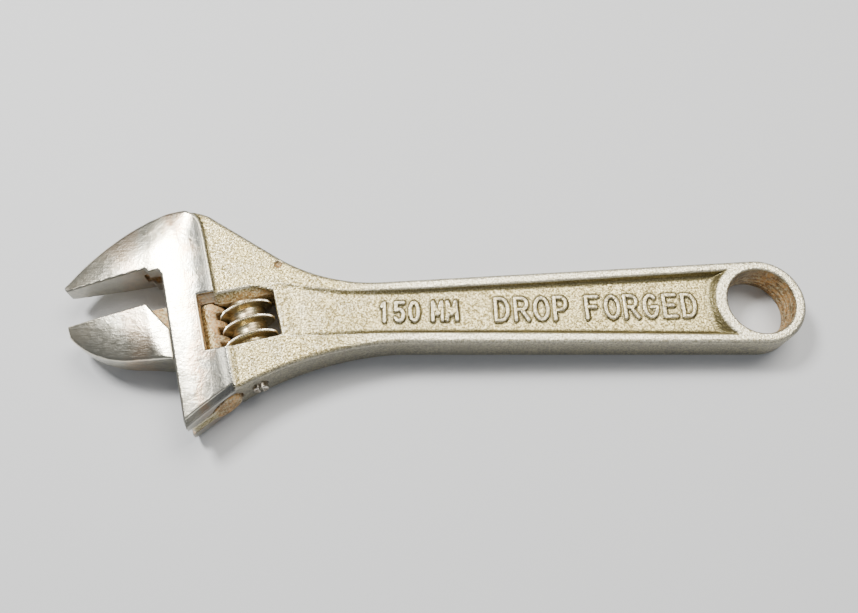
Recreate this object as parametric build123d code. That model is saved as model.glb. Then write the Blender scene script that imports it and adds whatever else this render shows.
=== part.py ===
"""Adjustable wrench, nominal 150 mm (6 in), as five separate pieces.

Row frame: origin at the centre of the hang hole, half way through the handle.
+X runs from the jaws to the hang hole, +Z is the hang hole's axis, and +Y is the fixed jaw's side.
The head has its own frame, turned by HEAD_ANGLE about Z, with its origin at the fixed jaw's tip.
There a place is (along, drop): along the jaw face towards the handle, and away from the fixed jaw.
"""
from build123d import *
from math import cos, pi, radians, sin
import os

# --- Handle ---
END_RADIUS = 9.5
HANG_HOLE_RADIUS = 7.0
HANDLE_HALF_THICKNESS = 4.15
NECK_TOP = (-80.0, 6.9)
NECK_TOP_BEND = (-93.2, 8.75)
NECK_BOTTOM = (-77.0, -7.1)
NECK_BOTTOM_BEND = (-93.3, -9.5)

# --- Recessed panel on both faces of the handle ---
PANEL_START_X = -97.0
PANEL_RAMP_END_X = -91.0
PANEL_NECK_X = -78.0
PANEL_NECK_HALF_WIDTH = 4.7
PANEL_END_X = -9.0
PANEL_END_HALF_WIDTH = 7.0
PANEL_FLOOR_Z_AT_HEAD = 3.75
PANEL_FLOOR_Z_AT_HOLE = 2.45
HANG_BOSS_RADIUS = 10.1

# --- Head frame ---
JAW_TIP_X = -146.5
JAW_TIP_Y = 7.1
HEAD_ANGLE = 12.5

# --- Head, as (along, drop) ---
JAW_FACE_LENGTH = 17.0
THROAT_STEP = 0.9
THROAT_STEP_END = 17.6
THROAT_RADIUS = 1.6
FRONT_FACE = 20.3
FOOT_DROP = 36.0
FOOT_END_ALONG = 31.0
FOOT_END_DROP = 30.75
NOSE_OUT = 0.9
NOSE_UP = 1.1
BACK_BEND = (-139.6, 16.4)
CROWN_START = (-126.5, 24.0)
CROWN_TOP = (-122.0, 24.5)
CROWN_END = (-117.2, 23.2)
SHOULDER_CORNER = (-103.0, 13.6)
TIP_HALF_THICKNESS = 2.6
JAW_ROOT_HALF_THICKNESS = 4.8
PAD_HALF_THICKNESS = 5.65
PAD_START = 24.0
PAD_BEND_FALL = 0.3
PAD_END = 30.5
PAD_STEP_LENGTH = 0.9
SHOULDER_HALF_THICKNESS = 4.7
SHOULDER_END = 44.0
SHOULDER_END_HALF_THICKNESS = 4.55
HANDLE_START = 60.0

# --- Movable jaw, at its rest opening ---
JAW_GAP = 8.0
MOVABLE_TIP_OVERHANG = 0.4
MOVABLE_ROOT_RISE = 0.15
MOVABLE_TIP_DROP = 10.4
BELLY_ALONG = 5.6
BELLY_DROP = 16.6
HEEL_START = 12.6
HEEL_START_DROP = 19.3
INNER_RELIEF = 6.6
JAW_FACE_END = 16.3
HEEL_DROP = 21.2
SLIDE_CLEARANCE = 0.06
WEB_HALF_THICKNESS = 1.55
WEB_START = 15.3
WEB_SETBACK = 0.6
WEB_SLOT_HALF_WIDTH = 1.7
WEB_RECESS_START = 16.2
RACK_AXIS = 28.4
RACK_RADIUS = 3.2
RACK_BORE_RADIUS = 3.3
RACK_TIP = 31.5
RACK_ROOT = 29.6
SHANK_TOP_DROP = 8.2
SHANK_END_DROP_AT_FRONT = 35.9
SHANK_END_DROP_AT_BACK = 31.2
BORE_TOP_DROP = -0.7

# --- Knurl: a right-handed worm ---
KNURL_AXIS = 35.5
KNURL_TOP = 11.3
KNURL_BOTTOM = 21.1
WORM_PITCH = 3.4
WORM_CREST_RADIUS = 5.6
WORM_ROOT_RADIUS = 3.75
CREST_WIDTH = 0.8
THREAD_BASE_WIDTH = 1.5
CREST_DROP_AT_FACE = 12.95
TOOTH_TIP_WIDTH = 1.2
TOOTH_BASE_WIDTH = 1.95
GAPS_ABOVE, GAPS_BELOW = 2, 4
KNURL_BORE_RADIUS = 1.66
SPRING_POCKET_RADIUS = 2.9
SPRING_POCKET_DEPTH = 4.0

# --- Window for the knurl, as (along, drop) ---
WINDOW_LEFT = 26.8
WINDOW_RIGHT = 42.1
WINDOW_TOP = 11.2
WINDOW_BOTTOM = 21.2
WINDOW_LIP_DROP = 9.2
WINDOW_LIP_Z = 2.8
LIP_CORNER_CUT = 4.0

# --- Pin and spring ---
PIN_RADIUS = 1.6
PIN_TOP = 5.5
PIN_END = 30.5
PIN_SLOT_WIDTH = 0.6
PIN_SLOT_DEPTH = 1.2
SPRING_WIRE = 0.5
SPRING_MEAN_RADIUS = 2.3
SPRING_TURNS = 4

# --- Sizes that only need to clear the part ---
BEYOND = 60.0
BEYOND_HANDLE = 170.0
ABOVE = 12.0
PAST_EDGE = 5.0
PAST_BOSS = 3.0
TAPER_RUN_OUT = 4.0

HEAD = Location((JAW_TIP_X, JAW_TIP_Y, 0), (0, 0, HEAD_ANGLE))
LEAD_ANGLE_SLOPE = WORM_PITCH / (2 * pi * (WORM_CREST_RADIUS + WORM_ROOT_RADIUS) / 2)


def head_point(along, drop):
    """Row-frame point for a place given in the head's frame."""
    turn = radians(HEAD_ANGLE)
    return (
        JAW_TIP_X + along * cos(turn) + drop * sin(turn),
        JAW_TIP_Y + along * sin(turn) - drop * cos(turn),
    )


def head_prism(places, half_height):
    """Straight prism through the head, symmetric about Z = 0, from (along, drop) corners."""
    corners = [head_point(along, drop) for along, drop in places]
    return extrude(make_face(Polyline(*corners, close=True)), half_height, both=True)


def head_cylinder(along, radius, top, bottom):
    """Cylinder in the head's mid plane, its axis across the jaw faces."""
    centre = (top + bottom) / 2
    body = Cylinder(radius, bottom - top, rotation=(90, 0, 0))
    return HEAD * Pos(along, -centre, 0) * body


def across_jaws(profile):
    """Turns a closed (along, height) outline into a slab that spans the head and the handle."""
    sketch = Plane.XZ * make_face(profile)
    return HEAD * extrude(sketch, BEYOND, both=True)


def body_outline():
    """Plan view of the forging: both jaw backs, throat, slide face, head foot and handle."""
    tip = head_point(0, 0)
    nose = (tip[0] - NOSE_OUT, tip[1] + NOSE_UP)
    foot = head_point(FRONT_FACE, FOOT_DROP)
    foot_end = head_point(FOOT_END_ALONG, FOOT_END_DROP)
    face_end = head_point(JAW_FACE_LENGTH, 0)
    throat_floor = head_point(THROAT_STEP_END, THROAT_STEP)
    fillet_start = head_point(FRONT_FACE - THROAT_RADIUS, THROAT_STEP)
    bend = THROAT_RADIUS * (1 - cos(pi / 4))
    fillet_middle = head_point(FRONT_FACE - bend, THROAT_STEP + bend)
    fillet_end = head_point(FRONT_FACE, THROAT_STEP + THROAT_RADIUS)
    return make_face(Curve() + [
        Line(tip, nose),
        ThreePointArc(nose, BACK_BEND, CROWN_START),
        ThreePointArc(CROWN_START, CROWN_TOP, CROWN_END),
        Line(CROWN_END, SHOULDER_CORNER),
        ThreePointArc(SHOULDER_CORNER, NECK_TOP_BEND, NECK_TOP),
        Line(NECK_TOP, (0, END_RADIUS)),
        ThreePointArc((0, END_RADIUS), (END_RADIUS, 0), (0, -END_RADIUS)),
        Line((0, -END_RADIUS), NECK_BOTTOM),
        ThreePointArc(NECK_BOTTOM, NECK_BOTTOM_BEND, foot_end),
        Line(foot_end, foot),
        Line(foot, fillet_end),
        ThreePointArc(fillet_end, fillet_middle, fillet_start),
        Line(fillet_start, throat_floor),
        Line(throat_floor, face_end),
        Line(face_end, tip),
    ])


def jaw_taper_edge():
    """Upper edge of the jaws' side view, from before the tip to the raised pad."""
    slope = (JAW_ROOT_HALF_THICKNESS - TIP_HALF_THICKNESS) / JAW_FACE_LENGTH
    start = (-TAPER_RUN_OUT, TIP_HALF_THICKNESS - TAPER_RUN_OUT * slope)
    root = (JAW_FACE_LENGTH, JAW_ROOT_HALF_THICKNESS)
    middle = ((JAW_FACE_LENGTH + PAD_START) / 2, PAD_HALF_THICKNESS - PAD_BEND_FALL)
    return start, root, middle, (PAD_START, PAD_HALF_THICKNESS)


def body_thickness():
    """Slab that holds the forging: tapered jaws, raised pad, shoulder and parallel handle."""
    start, root, middle, pad_start = jaw_taper_edge()
    pad_end = (PAD_END, PAD_HALF_THICKNESS)
    shoulder = (PAD_END + PAD_STEP_LENGTH, SHOULDER_HALF_THICKNESS)
    shoulder_end = (SHOULDER_END, SHOULDER_END_HALF_THICKNESS)
    handle = (HANDLE_START, HANDLE_HALF_THICKNESS)
    far_end = (BEYOND_HANDLE, HANDLE_HALF_THICKNESS)
    upper = Curve() + [
        Line((start[0], 0), start),
        Line(start, root),
        ThreePointArc(root, middle, pad_start),
        Polyline(pad_start, pad_end, shoulder, shoulder_end, handle, far_end, (far_end[0], 0)),
        Line((far_end[0], 0), (start[0], 0)),
    ]
    half = across_jaws(upper)
    return half + mirror(half, about=Plane.XY)


def panel_recess():
    """One face's recessed panel, deeper towards the hang hole and ending at its boss."""
    outline = make_face(Polyline(
        (PANEL_START_X, PANEL_NECK_HALF_WIDTH),
        (PANEL_NECK_X, PANEL_NECK_HALF_WIDTH),
        (PANEL_END_X, PANEL_END_HALF_WIDTH),
        (PANEL_END_X + PAST_BOSS, PANEL_END_HALF_WIDTH),
        (PANEL_END_X + PAST_BOSS, -PANEL_END_HALF_WIDTH),
        (PANEL_END_X, -PANEL_END_HALF_WIDTH),
        (PANEL_NECK_X, -PANEL_NECK_HALF_WIDTH),
        (PANEL_START_X, -PANEL_NECK_HALF_WIDTH),
        close=True,
    ))
    recess = extrude(outline, ABOVE)
    side_view = Plane.XZ * make_face(Polyline(
        (PANEL_START_X - 1, SHOULDER_HALF_THICKNESS),
        (PANEL_RAMP_END_X, PANEL_FLOOR_Z_AT_HEAD),
        (PANEL_END_X, PANEL_FLOOR_Z_AT_HOLE),
        (0, PANEL_FLOOR_Z_AT_HOLE),
        (0, ABOVE),
        (PANEL_START_X - 1, ABOVE),
        close=True,
    ))
    boss = Cylinder(HANG_BOSS_RADIUS, 2 * ABOVE)
    return recess & extrude(side_view, BEYOND, both=True) - boss


def knurl_window():
    """Through window for the knurl, with the sloping lip above its upper end."""
    window = head_prism([
        (WINDOW_LEFT, WINDOW_TOP),
        (WINDOW_RIGHT, WINDOW_TOP),
        (WINDOW_RIGHT, WINDOW_BOTTOM),
        (WINDOW_LEFT, WINDOW_BOTTOM),
    ], ABOVE)
    lip_side_view = Polyline(
        (WINDOW_TOP, WINDOW_LIP_Z),
        (WINDOW_LIP_DROP, SHOULDER_HALF_THICKNESS),
        (WINDOW_LIP_DROP, ABOVE),
        (WINDOW_TOP, ABOVE),
        close=True,
    )
    lip_plane = Plane(origin=(0, 0, 0), x_dir=(0, -1, 0), z_dir=(1, 0, 0))
    lip = HEAD * Pos(WINDOW_LEFT, 0, 0) * extrude(
        lip_plane * make_face(lip_side_view), WINDOW_RIGHT - WINDOW_LEFT)
    corner_guard = head_prism([
        (WINDOW_RIGHT - LIP_CORNER_CUT, WINDOW_LIP_DROP),
        (WINDOW_RIGHT, WINDOW_TOP),
        (WINDOW_RIGHT + 1, WINDOW_LIP_DROP),
    ], ABOVE)
    lip = lip - corner_guard
    return window + lip + mirror(lip, about=Plane.XY)


def shank_passage():
    """Round rack bore and the narrow slot that lets the jaw's web through the slide face."""
    bore = head_cylinder(RACK_AXIS, RACK_BORE_RADIUS, BORE_TOP_DROP, BEYOND)
    slot = head_prism([
        (WEB_RECESS_START, BORE_TOP_DROP),
        (RACK_AXIS, BORE_TOP_DROP),
        (RACK_AXIS, BEYOND),
        (WEB_RECESS_START, BEYOND),
    ], WEB_SLOT_HALF_WIDTH)
    return bore + slot


def wrench_body():
    """The forging: fixed jaw, head, handle, hang hole and every passage in the head."""
    solid = extrude(body_outline(), ABOVE, both=True) & body_thickness()
    solid = solid - panel_recess() - mirror(panel_recess(), about=Plane.XY)
    solid = solid - Cylinder(HANG_HOLE_RADIUS, 2 * ABOVE)
    solid = solid - knurl_window() - shank_passage()
    return solid - head_cylinder(KNURL_AXIS, PIN_RADIUS, PIN_TOP, BEYOND)


def jaw_block():
    """The movable jaw's working end, tapered like the fixed jaw, with a relieved inner corner."""
    back = FRONT_FACE - SLIDE_CLEARANCE
    tip = -MOVABLE_TIP_OVERHANG
    outline = make_face(Curve() + [
        Line(head_point(tip, JAW_GAP), head_point(JAW_FACE_END, JAW_GAP)),
        Line(head_point(JAW_FACE_END, JAW_GAP), head_point(back, JAW_GAP + INNER_RELIEF)),
        Line(head_point(back, JAW_GAP + INNER_RELIEF), head_point(back, HEEL_DROP)),
        Line(head_point(back, HEEL_DROP), head_point(HEEL_START, HEEL_START_DROP)),
        ThreePointArc(head_point(HEEL_START, HEEL_START_DROP), head_point(BELLY_ALONG, BELLY_DROP),
                      head_point(tip, MOVABLE_TIP_DROP)),
        Line(head_point(tip, MOVABLE_TIP_DROP), head_point(tip, JAW_GAP)),
    ])
    start, root, _, _ = jaw_taper_edge()
    far = (FRONT_FACE + 1, JAW_ROOT_HALF_THICKNESS + MOVABLE_ROOT_RISE)
    half = across_jaws(Polyline((start[0], 0), start, root, far, (far[0], 0), close=True))
    return extrude(outline, ABOVE, both=True) & (half + mirror(half, about=Plane.XY))


def shank_end_cut():
    """Everything beyond the shank's slanted lower end."""
    slope = (SHANK_END_DROP_AT_BACK - SHANK_END_DROP_AT_FRONT) / (RACK_TIP - FRONT_FACE)
    near = SHANK_END_DROP_AT_FRONT - slope * PAST_EDGE
    far = SHANK_END_DROP_AT_BACK + slope * PAST_EDGE
    return head_prism([
        (FRONT_FACE - PAST_EDGE, near),
        (RACK_TIP + PAST_EDGE, far),
        (RACK_TIP + PAST_EDGE, BEYOND),
        (FRONT_FACE - PAST_EDGE, BEYOND),
    ], ABOVE)


def tooth_gap(drop):
    """Space between two rack teeth, slanted at the worm's lead angle, centred at drop."""
    mouth = WORM_PITCH - TOOTH_TIP_WIDTH
    floor = WORM_PITCH - TOOTH_BASE_WIDTH
    beyond_tip = RACK_TIP + 1.0
    flare = (mouth - floor) / (RACK_TIP - RACK_ROOT)
    wide = mouth + flare * (beyond_tip - RACK_TIP)
    sections = []
    for z in (-RACK_RADIUS - 1, RACK_RADIUS + 1):
        shift = drop - z * LEAD_ANGLE_SLOPE
        corners = [
            (RACK_ROOT, shift - floor / 2),
            (beyond_tip, shift - wide / 2),
            (beyond_tip, shift + wide / 2),
            (RACK_ROOT, shift + floor / 2),
        ]
        places = [(*head_point(along, place), z) for along, place in corners]
        sections.append(make_face(Polyline(*places, close=True)))
    return loft(sections)


def movable_jaw():
    """Jaw block, thin web and round rack shank, in one piece."""
    web = head_prism([
        (WEB_START, SHANK_TOP_DROP),
        (RACK_AXIS, SHANK_TOP_DROP),
        (RACK_AXIS, BEYOND),
        (FRONT_FACE + WEB_SETBACK, BEYOND),
        (FRONT_FACE + WEB_SETBACK, HEEL_DROP - 0.4),
        (FRONT_FACE - 1, HEEL_DROP - 0.6),
        (WEB_START, HEEL_DROP - 2),
    ], WEB_HALF_THICKNESS)
    shank = head_cylinder(RACK_AXIS, RACK_RADIUS, SHANK_TOP_DROP, BEYOND)
    toothed_side = head_prism([
        (RACK_TIP, SHANK_TOP_DROP - 1),
        (RACK_TIP + 4, SHANK_TOP_DROP - 1),
        (RACK_TIP + 4, BEYOND),
        (RACK_TIP, BEYOND),
    ], ABOVE)
    shank = shank - toothed_side - shank_end_cut()
    crest_at_rack = CREST_DROP_AT_FACE + WORM_PITCH / 4
    for turn in range(-GAPS_ABOVE, GAPS_BELOW + 1):
        drop = crest_at_rack + turn * WORM_PITCH
        shank = shank - tooth_gap(drop)
    return jaw_block() + (web - shank_end_cut()) + shank


def worm_section():
    """Cross-section of the worm, square to its axis: root, spiral flank, crest and flank."""
    turn_per_mm = 2 * pi / WORM_PITCH
    crest = CREST_WIDTH / 2 * turn_per_mm
    base = THREAD_BASE_WIDTH / 2 * turn_per_mm
    flank_points = 5

    def at(radius, angle):
        return (radius * cos(angle), radius * sin(angle))

    def flank(sign):
        points = []
        for step in range(flank_points):
            part = step / (flank_points - 1)
            radius = WORM_ROOT_RADIUS + part * (WORM_CREST_RADIUS - WORM_ROOT_RADIUS)
            points.append(at(radius, sign * (base + part * (crest - base))))
        return Spline(*points)

    return make_face(Curve() + [
        flank(1),
        ThreePointArc(at(WORM_CREST_RADIUS, crest), at(WORM_CREST_RADIUS, 0),
                      at(WORM_CREST_RADIUS, -crest)),
        flank(-1),
        ThreePointArc(at(WORM_ROOT_RADIUS, -base), at(WORM_ROOT_RADIUS, pi),
                      at(WORM_ROOT_RADIUS, base)),
    ])


def knurl():
    """Right-handed worm with a bore for the pin and a pocket for the spring."""
    length = KNURL_BOTTOM - KNURL_TOP
    turns = length / WORM_PITCH
    section = worm_section()
    worm = Solid.extrude_linear_with_rotation(
        section.faces()[0], (0, 0, 0), (0, 0, length), 360 * turns)
    worm = Part() + worm
    worm = worm - Cylinder(KNURL_BORE_RADIUS, 3 * length)
    pocket = Cylinder(SPRING_POCKET_RADIUS, SPRING_POCKET_DEPTH,
                      align=(Align.CENTER, Align.CENTER, Align.MAX))
    worm = worm - Pos(0, 0, length) * pocket
    # The section's crest is on the local +X axis, turned here so that the crest lies where the
    # rack's gaps want it: at CREST_DROP_AT_FACE on the +Z side of the wrench.
    crest_turn = 360 * (KNURL_BOTTOM - CREST_DROP_AT_FACE) / WORM_PITCH
    upright = Plane(origin=(KNURL_AXIS, -KNURL_BOTTOM, 0), x_dir=(0, 0, 1), z_dir=(0, 1, 0))
    return HEAD * upright.location * Rot(0, 0, -crest_turn) * worm


def knurl_pin():
    """Plain pin from the head's lower edge, through the knurl, with a slotted outer end."""
    pin = head_cylinder(KNURL_AXIS, PIN_RADIUS, PIN_TOP, PIN_END)
    slot = head_prism([
        (KNURL_AXIS - PIN_SLOT_WIDTH / 2, PIN_END - PIN_SLOT_DEPTH),
        (KNURL_AXIS + PIN_SLOT_WIDTH / 2, PIN_END - PIN_SLOT_DEPTH),
        (KNURL_AXIS + PIN_SLOT_WIDTH / 2, PIN_END + 1),
        (KNURL_AXIS - PIN_SLOT_WIDTH / 2, PIN_END + 1),
    ], ABOVE)
    return pin - slot


def knurl_spring():
    """Small compression spring round the pin, in the knurl's pocket."""
    gap = 0.05
    free_height = SPRING_POCKET_DEPTH - SPRING_WIRE - 2 * gap
    path = Helix(free_height / SPRING_TURNS, free_height, SPRING_MEAN_RADIUS)
    start = Plane(origin=path @ 0, z_dir=path % 0)
    coil = sweep(start * Circle(SPRING_WIRE / 2), path, is_frenet=True)
    upright = Plane(origin=(KNURL_AXIS, 0, 0), x_dir=(0, 0, 1), z_dir=(0, 1, 0))
    pocket_floor = KNURL_TOP + SPRING_POCKET_DEPTH
    return HEAD * upright.location * Pos(0, 0, -pocket_floor + gap + SPRING_WIRE / 2) * coil


def main():
    os.makedirs("parts", exist_ok=True)
    pieces = {
        "wrench_body": wrench_body(),
        "movable_jaw": movable_jaw(),
        "knurl": knurl(),
        "knurl_pin": knurl_pin(),
        "knurl_spring": knurl_spring(),
    }
    for name, piece in pieces.items():
        export_step(piece, f"parts/{name}.step")


main()
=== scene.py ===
"""Adjustable wrench: visual model, materials, floor, lights and camera.

Shapes are written as fields in millimetres, negative inside the metal, and meshed here.
The head's own frame is (along, drop, z): along the jaw face towards the handle, and away from the
fixed jaw.
"""

import math

import bpy
import numpy as np
from mathutils import Matrix


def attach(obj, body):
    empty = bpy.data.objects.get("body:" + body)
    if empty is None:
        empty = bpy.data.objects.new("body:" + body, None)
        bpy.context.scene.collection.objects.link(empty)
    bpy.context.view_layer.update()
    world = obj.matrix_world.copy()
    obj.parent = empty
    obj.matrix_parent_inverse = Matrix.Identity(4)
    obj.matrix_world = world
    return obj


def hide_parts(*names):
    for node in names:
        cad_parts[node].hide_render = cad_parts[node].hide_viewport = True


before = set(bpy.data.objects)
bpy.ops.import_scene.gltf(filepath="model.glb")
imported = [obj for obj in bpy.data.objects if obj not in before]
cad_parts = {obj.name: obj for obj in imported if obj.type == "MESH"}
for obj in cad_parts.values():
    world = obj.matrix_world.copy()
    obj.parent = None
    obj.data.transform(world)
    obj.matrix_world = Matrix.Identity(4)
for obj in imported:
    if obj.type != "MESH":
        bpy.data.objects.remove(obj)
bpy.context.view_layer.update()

MM = 0.001

# --- Where the head's frame lies in the wrench's own frame, in mm ---
TIP_X, TIP_Y = -146.5, 7.1
TURN = math.radians(12.5)
COS, SIN = math.cos(TURN), math.sin(TURN)

# --- Head of the forging ---
FACE_END = 17.0
STEP_DROP = 0.9
FRONT = 20.3
THROAT_RADIUS = 1.6
FOOT_DROP = 36.0
FOOT_END_ALONG, FOOT_END_DROP = 31.0, 30.75
FLANK_BACK, CROWN_START, CROWN_END = (-139.6, 16.4), (-126.5, 24.0), (-117.2, 23.2)
BACK_FALL_WIDTH, BACK_FALL = 9.0, 0.75
BEVEL_REACH, BEVEL_SCALE = 1.35, 0.7071
DIMPLE_X, DIMPLE_Y, DIMPLE_Z, DIMPLE_RADIUS = -102.0, 11.2, 4.75, 0.85

# --- Handle, its panel and the hang hole ---
HANDLE_Z = 4.15
END_RADIUS = 9.5
HOLE_RADIUS = 7.0
BOSS_RADIUS = 9.45
PANEL_NECK_X, PANEL_NECK_HALF_WIDTH, PANEL_WIDENING = -80.0, 4.75, 2.5
PANEL_LENGTH, PANEL_HEAD_END = 71.0, -102.4
TURNED_PANEL_X, STRAIGHT_PANEL_X = -98, -88
HEAD_TO_PANEL = 144.0
LETTER_HEIGHT = 0.46

# --- Window, rack bore and pin bore, in the head's frame ---
WINDOW_LEFT, WINDOW_RIGHT = 26.75, 42.1
WINDOW_TOP, WINDOW_BOTTOM = 11.2, 21.25
RACK_AXIS, RACK_RADIUS = 28.4, 3.2
BORE_CLEARANCE, BORE_TOP = 0.13, -0.7
SLOT_START, SLOT_HALF_WIDTH = 16.2, 1.72
PIN_BORE_RADIUS, PIN_BORE_TOP = 1.62, 5.4

# --- Worm's thread, which the rack and the knurl share ---
KNURL_AXIS = 35.5
KNURL_TOP, KNURL_BOTTOM = 11.3, 21.1
PITCH = 3.4
CREST_DROP = 12.95
CREST_RADIUS, ROOT_RADIUS = 5.6, 3.75
LEAD_SLOPE = PITCH / (math.pi * (CREST_RADIUS + ROOT_RADIUS))
KNURL_BORE_RADIUS = 1.68
POCKET_RADIUS, POCKET_DEPTH = 2.9, 4.0

# --- Movable jaw, where it rests ---
GAP = 8.0
HEEL_DROP = 21.2
WEB_START, WEB_HALF_THICKNESS = 15.3, 1.52
SHANK_TOP = 8.25
RACK_TIP, RACK_ROOT = 31.5, 29.6
LAST_GAP_END = 29.1
SHANK_END_FRONT, SHANK_END_BACK = 35.9, 31.2

# --- Pin and spring ---
PIN_RADIUS, PIN_TOP, PIN_END = 1.58, 5.52, 30.5
SCREW_SLOT_HALF_WIDTH, SCREW_SLOT_START = 0.3, 29.3
SPRING_WIRE, SPRING_RADIUS, SPRING_COILS = 0.25, 2.3, 4

# --- Radii of the rounded edges and corners ---
CRISP_EDGE, JAW_BACK_EDGE, HANDLE_EDGE = 0.28, 0.8, 0.95
BEVEL_EDGE, PANEL_EDGE, PANEL_CORNER = 0.12, 0.32, 0.55
HOLE_EDGE, WINDOW_EDGE, WINDOW_CORNER = 0.45, 0.28, 0.35
BORE_EDGE, PIN_BORE_EDGE, DIMPLE_EDGE = 0.12, 0.15, 0.2

# --- Angle of the grinding marks on the jaws ---
JAW_GRIND = TURN + math.radians(22)

# --- Sizes of the cells that the shapes are meshed with ---
BODY_CELL, LETTER_CELL, JAW_CELL, PIN_CELL, PIN_ROW = 0.38, 0.28, 0.25, 0.14, 0.2
KNURL_AROUND, KNURL_ROW = 456, 0.11

FAR = 1e9


# ---------------------------------------------------------------- fields

def to_head(x, y):
    """A place in plan, in the head's own frame."""
    dx, dy = x - TIP_X, y - TIP_Y
    return dx * COS + dy * SIN, dx * SIN - dy * COS


def from_head(along, drop):
    """A place of the head's own frame, in plan."""
    return TIP_X + along * COS + drop * SIN, TIP_Y + along * SIN - drop * COS


def ramp(value, low, high):
    """0 at low and 1 at high, smooth between them and flat beyond; it falls where low is larger."""
    t = np.clip((value - low) / (high - low), 0.0, 1.0)
    return t * t * (3 - 2 * t)


def mix(a, b, share):
    """a where share is 0, b where it is 1."""
    return a + (b - a) * share


def meet(a, b, radius):
    """What lies inside both fields, with the edge between them rounded."""
    corner = np.hypot(np.maximum(a + radius, 0), np.maximum(b + radius, 0))
    return corner + np.minimum(np.maximum(a, b) + radius, 0) - radius


def join(a, b, radius):
    """What lies inside either field, with the corner between them filled."""
    return -meet(-a, -b, radius)


def cut(a, b, radius):
    """What lies inside the first field and outside the second, with a rounded edge."""
    return meet(a, -b, radius)


def arc(start, middle, end, steps=40):
    """Points on the circle through three places, from start to end, without the last one."""
    (ax, ay), (bx, by), (cx, cy) = start, middle, end
    d = 2 * (ax * (by - cy) + bx * (cy - ay) + cx * (ay - by))
    aa, bb, cc = ax * ax + ay * ay, bx * bx + by * by, cx * cx + cy * cy
    ux = (aa * (by - cy) + bb * (cy - ay) + cc * (ay - by)) / d
    uy = (aa * (cx - bx) + bb * (ax - cx) + cc * (bx - ax)) / d
    radius = math.hypot(ax - ux, ay - uy)
    first = math.atan2(ay - uy, ax - ux)
    turn = 2 * math.pi
    to_middle = (math.atan2(by - uy, bx - ux) - first) % turn
    to_end = (math.atan2(cy - uy, cx - ux) - first) % turn
    if to_middle > to_end:
        to_end -= turn
    angles = [first + to_end * i / steps for i in range(steps)]
    return [(ux + radius * math.cos(t), uy + radius * math.sin(t)) for t in angles]


def line_distance(x, y, points, closed=False):
    """Distance to a run of straight strokes."""
    nearest = np.full(np.broadcast(x, y).shape, FAR)
    ends = points[1:] + points[:1] if closed else points[1:]
    for (ax, ay), (bx, by) in zip(points, ends):
        dx, dy = bx - ax, by - ay
        t = np.clip(((x - ax) * dx + (y - ay) * dy) / (dx * dx + dy * dy + 1e-12), 0, 1)
        nearest = np.minimum(nearest, (x - ax - t * dx) ** 2 + (y - ay - t * dy) ** 2)
    return np.sqrt(nearest)


def outline_distance(x, y, points):
    """Signed distance to a closed outline, negative inside."""
    inside = np.zeros(np.broadcast(x, y).shape, bool)
    for (ax, ay), (bx, by) in zip(points, points[1:] + points[:1]):
        if ay != by:
            inside ^= ((ay > y) != (by > y)) & (x < ax + (y - ay) * (bx - ax) / (by - ay))
    distance = line_distance(x, y, points, closed=True)
    return np.where(inside, -distance, distance)


def soft_profile(places, heights, blur):
    """A height profile through the given places, with its corners rounded off."""
    step = 0.1
    fine = np.arange(places[0], places[-1] + step, step)
    values = np.interp(fine, places, heights)
    reach = np.arange(-4 * blur, 4 * blur + step, step)
    kernel = np.exp(-0.5 * (reach / blur) ** 2)
    padded = np.pad(values, len(reach) // 2, mode="edge")
    values = np.convolve(padded, kernel / kernel.sum(), "valid")
    return fine, values[:len(fine)]


# ---------------------------------------------------------------- body outline and thickness

NOSE = (TIP_X - 0.9, TIP_Y + 1.1)
BEND = THROAT_RADIUS * (1 - math.cos(math.pi / 4))
FOOT_END = from_head(FOOT_END_ALONG, FOOT_END_DROP)
THROAT = (
    [from_head(0, 0), from_head(FACE_END, 0), from_head(FACE_END + 0.6, STEP_DROP)]
    + arc(from_head(FRONT - THROAT_RADIUS, STEP_DROP), from_head(FRONT - BEND, STEP_DROP + BEND),
          from_head(FRONT, STEP_DROP + THROAT_RADIUS), 10)
    + [from_head(FRONT, STEP_DROP + THROAT_RADIUS), from_head(FRONT, FOOT_DROP)]
)
BODY_OUTLINE = (
    arc(NOSE, FLANK_BACK, CROWN_START)
    + arc(CROWN_START, (-122.0, 24.5), CROWN_END, 20)
    + [CROWN_END]
    + arc((-103.0, 13.6), (-93.2, 8.75), (-80.0, 6.9))
    + [(-80.0, 6.9)]
    + arc((0, END_RADIUS), (END_RADIUS, 0), (0, -END_RADIUS), 80)
    + [(0, -END_RADIUS)]
    + arc((-77.0, -7.1), (-93.3, -9.5), FOOT_END)
    + [FOOT_END]
    + THROAT[::-1]
)

# Half the thickness of the head, along it, out to the end of the raised pad.
JAW_PROFILE = soft_profile(
    [-6, 17, 19.0, 20.8, 22.6, 24.6, 27.2, 29.2, 30.6, 200],
    [1.80, 4.78, 5.08, 5.30, 5.48, 5.59, 5.60, 5.48, 5.24, 5.18], 0.5)
# Half the thickness behind the pad, down to the handle.
SHOULDER_PROFILE = soft_profile([-30, 31, 44, 60, 200], [4.68, 4.68, 4.52, HANDLE_Z, HANDLE_Z], 0.8)
# Where the raised pad ends along the head, for each drop.
PAD_STEP = soft_profile(
    [-30, -14, -10.8, -9.7, -8, -5, 12, 18, 30],
    [22, 25.5, 28.0, 29.2, 29.8, 30.0, 30.1, 31.0, 31.0], 0.5)
# Height of the panel's floor above the middle of the handle's thickness, along the panel.
PANEL_FLOOR = soft_profile(
    [-103, -101.7, -99.5, -96.0, -91, -85, -75, -9.0, 20],
    [4.9, 4.70, 4.36, 4.20, 3.95, 3.66, 3.36, 2.45, 2.35], 0.5)


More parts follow.
